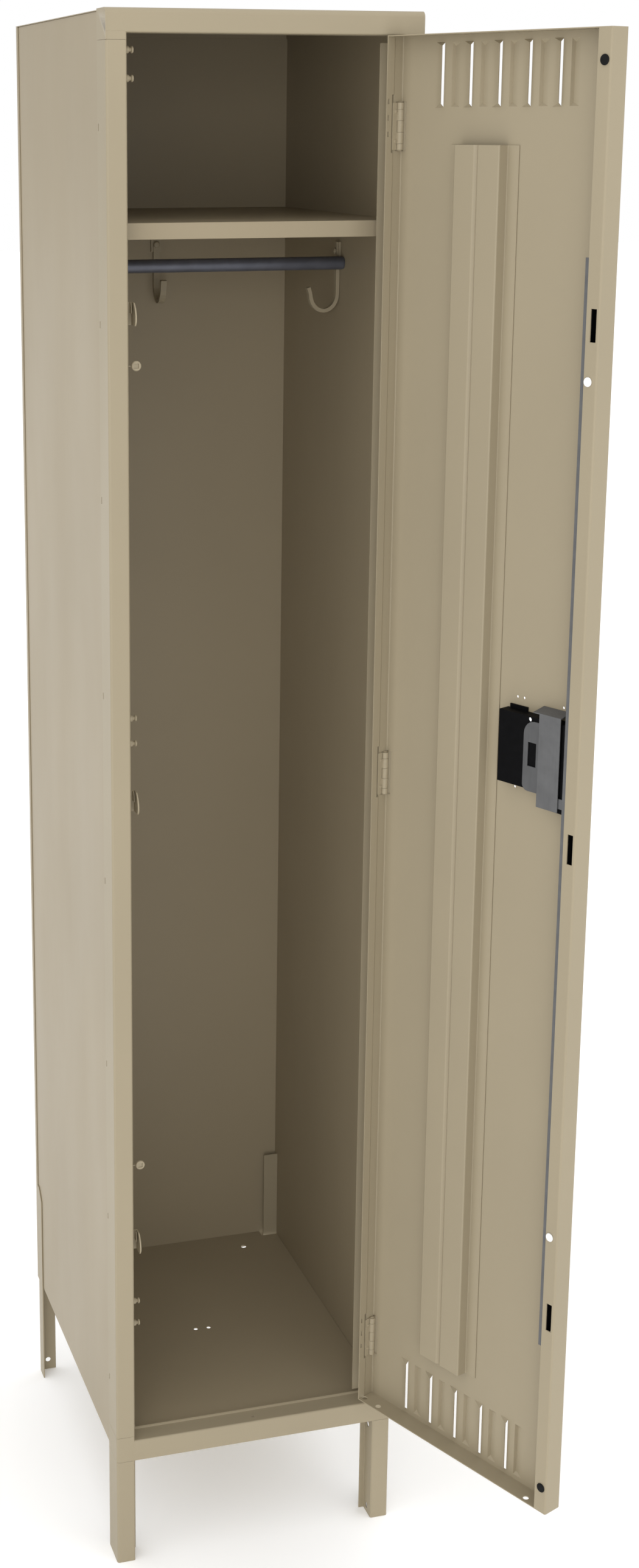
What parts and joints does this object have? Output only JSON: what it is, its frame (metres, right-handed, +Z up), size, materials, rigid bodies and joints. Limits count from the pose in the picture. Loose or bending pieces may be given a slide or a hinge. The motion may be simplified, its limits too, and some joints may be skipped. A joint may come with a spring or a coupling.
{
  "type": "school locker",
  "caption": "Tall narrow steel locker on legs with a louvred hinged door standing open, a hat shelf, a coat rod, wall hooks and a recessed lift latch.",
  "frame": {"origin": "bottom centre of the bounding box with the door standing open at 114 degrees", "axes": "+Z up, +Y towards the back panel, +X towards the hinge side"},
  "size_m": [0.4888, 0.8042, 1.9812],
  "materials": {
    "frame_paint": "putty semi-gloss enamel",
    "panel_paint": "putty semi-gloss enamel, flat panels",
    "door_paint": "putty semi-gloss enamel",
    "fitting_paint": "small fittings painted with the body",
    "rod_steel": "dark blue-grey drawn tube",
    "latch_zinc": "grey zinc-plated sheet",
    "lift_zinc": "darker grey zinc-plated sheet",
    "housing_black": "black moulded housing",
    "bumper_rubber": "black rubber",
    "plug_nylon": "white nylon"
  },
  "bodies": {
    "frame": {"back_panel": "panel_paint", "bottom_panel": "panel_paint", "bottom_rail": "frame_paint", "coat_rod": "rod_steel", "frame_header": "frame_paint", "frame_stop_1": "fitting_paint", "frame_stop_2": "fitting_paint", "front_left_leg": "frame_paint", "front_right_leg": "frame_paint", "hat_shelf": "panel_paint", "hinge_bottom_frame_leaf": "fitting_paint", "hinge_bottom_pin": "fitting_paint", "hinge_middle_frame_leaf": "fitting_paint", "hinge_middle_pin": "fitting_paint", "hinge_top_frame_leaf": "fitting_paint", "hinge_top_pin": "fitting_paint", "hook_bolt_rear": "fitting_paint", "hook_bolt_right": "fitting_paint", "latch_hook_1": "fitting_paint", "latch_hook_2": "fitting_paint", "latch_hook_3": "fitting_paint", "left_side_panel": "panel_paint", "left_stile": "frame_paint", "rear_left_leg": "frame_paint", "rear_right_leg": "frame_paint", "right_side_panel": "panel_paint", "right_stile": "frame_paint", "stile_stud_1": "fitting_paint", "stile_stud_2": "fitting_paint", "stile_stud_3": "fitting_paint", "stile_stud_4": "fitting_paint", "stile_stud_5": "fitting_paint", "stile_stud_6": "fitting_paint", "top_panel": "panel_paint", "wall_hook_rear": "fitting_paint", "wall_hook_right": "fitting_paint"},
    "door": {"door_bumper_1": "bumper_rubber", "door_bumper_2": "bumper_rubber", "door_pan": "door_paint", "door_plug_1": "plug_nylon", "door_plug_2": "plug_nylon", "door_stiffener": "door_paint", "handle_housing": "housing_black", "hinge_bottom_door_leaf": "fitting_paint", "hinge_middle_door_leaf": "fitting_paint", "hinge_top_door_leaf": "fitting_paint", "latch_plate": "latch_zinc"},
    "latch_lifter": {"lift_plate": "lift_zinc"},
    "lock_bar": {"lock_bar": "latch_zinc", "latch_clip_1": "housing_black", "latch_clip_2": "housing_black", "latch_clip_3": "housing_black"}
  },
  "joints": [
    {"name": "door_swing", "type": "hinge", "parent": "frame", "child": "door", "pos_m": [0.10704, -0.0965, 1.067], "axis": [0, 0, 1], "range_deg": [-114, 40]},
    {"name": "latch_lift", "type": "slide", "parent": "door", "child": "latch_lifter", "axis": [0, 0, 1], "range_m": [0, 0.01]},
    {"name": "lock_bar_slide", "type": "slide", "parent": "door", "child": "lock_bar", "axis": [0, 0, 1], "range_m": [0, 0.01]}
  ],
  "couplings": [
    {"joint": "latch_lift", "follows": "lock_bar_slide", "ratio": 1}
  ]
}
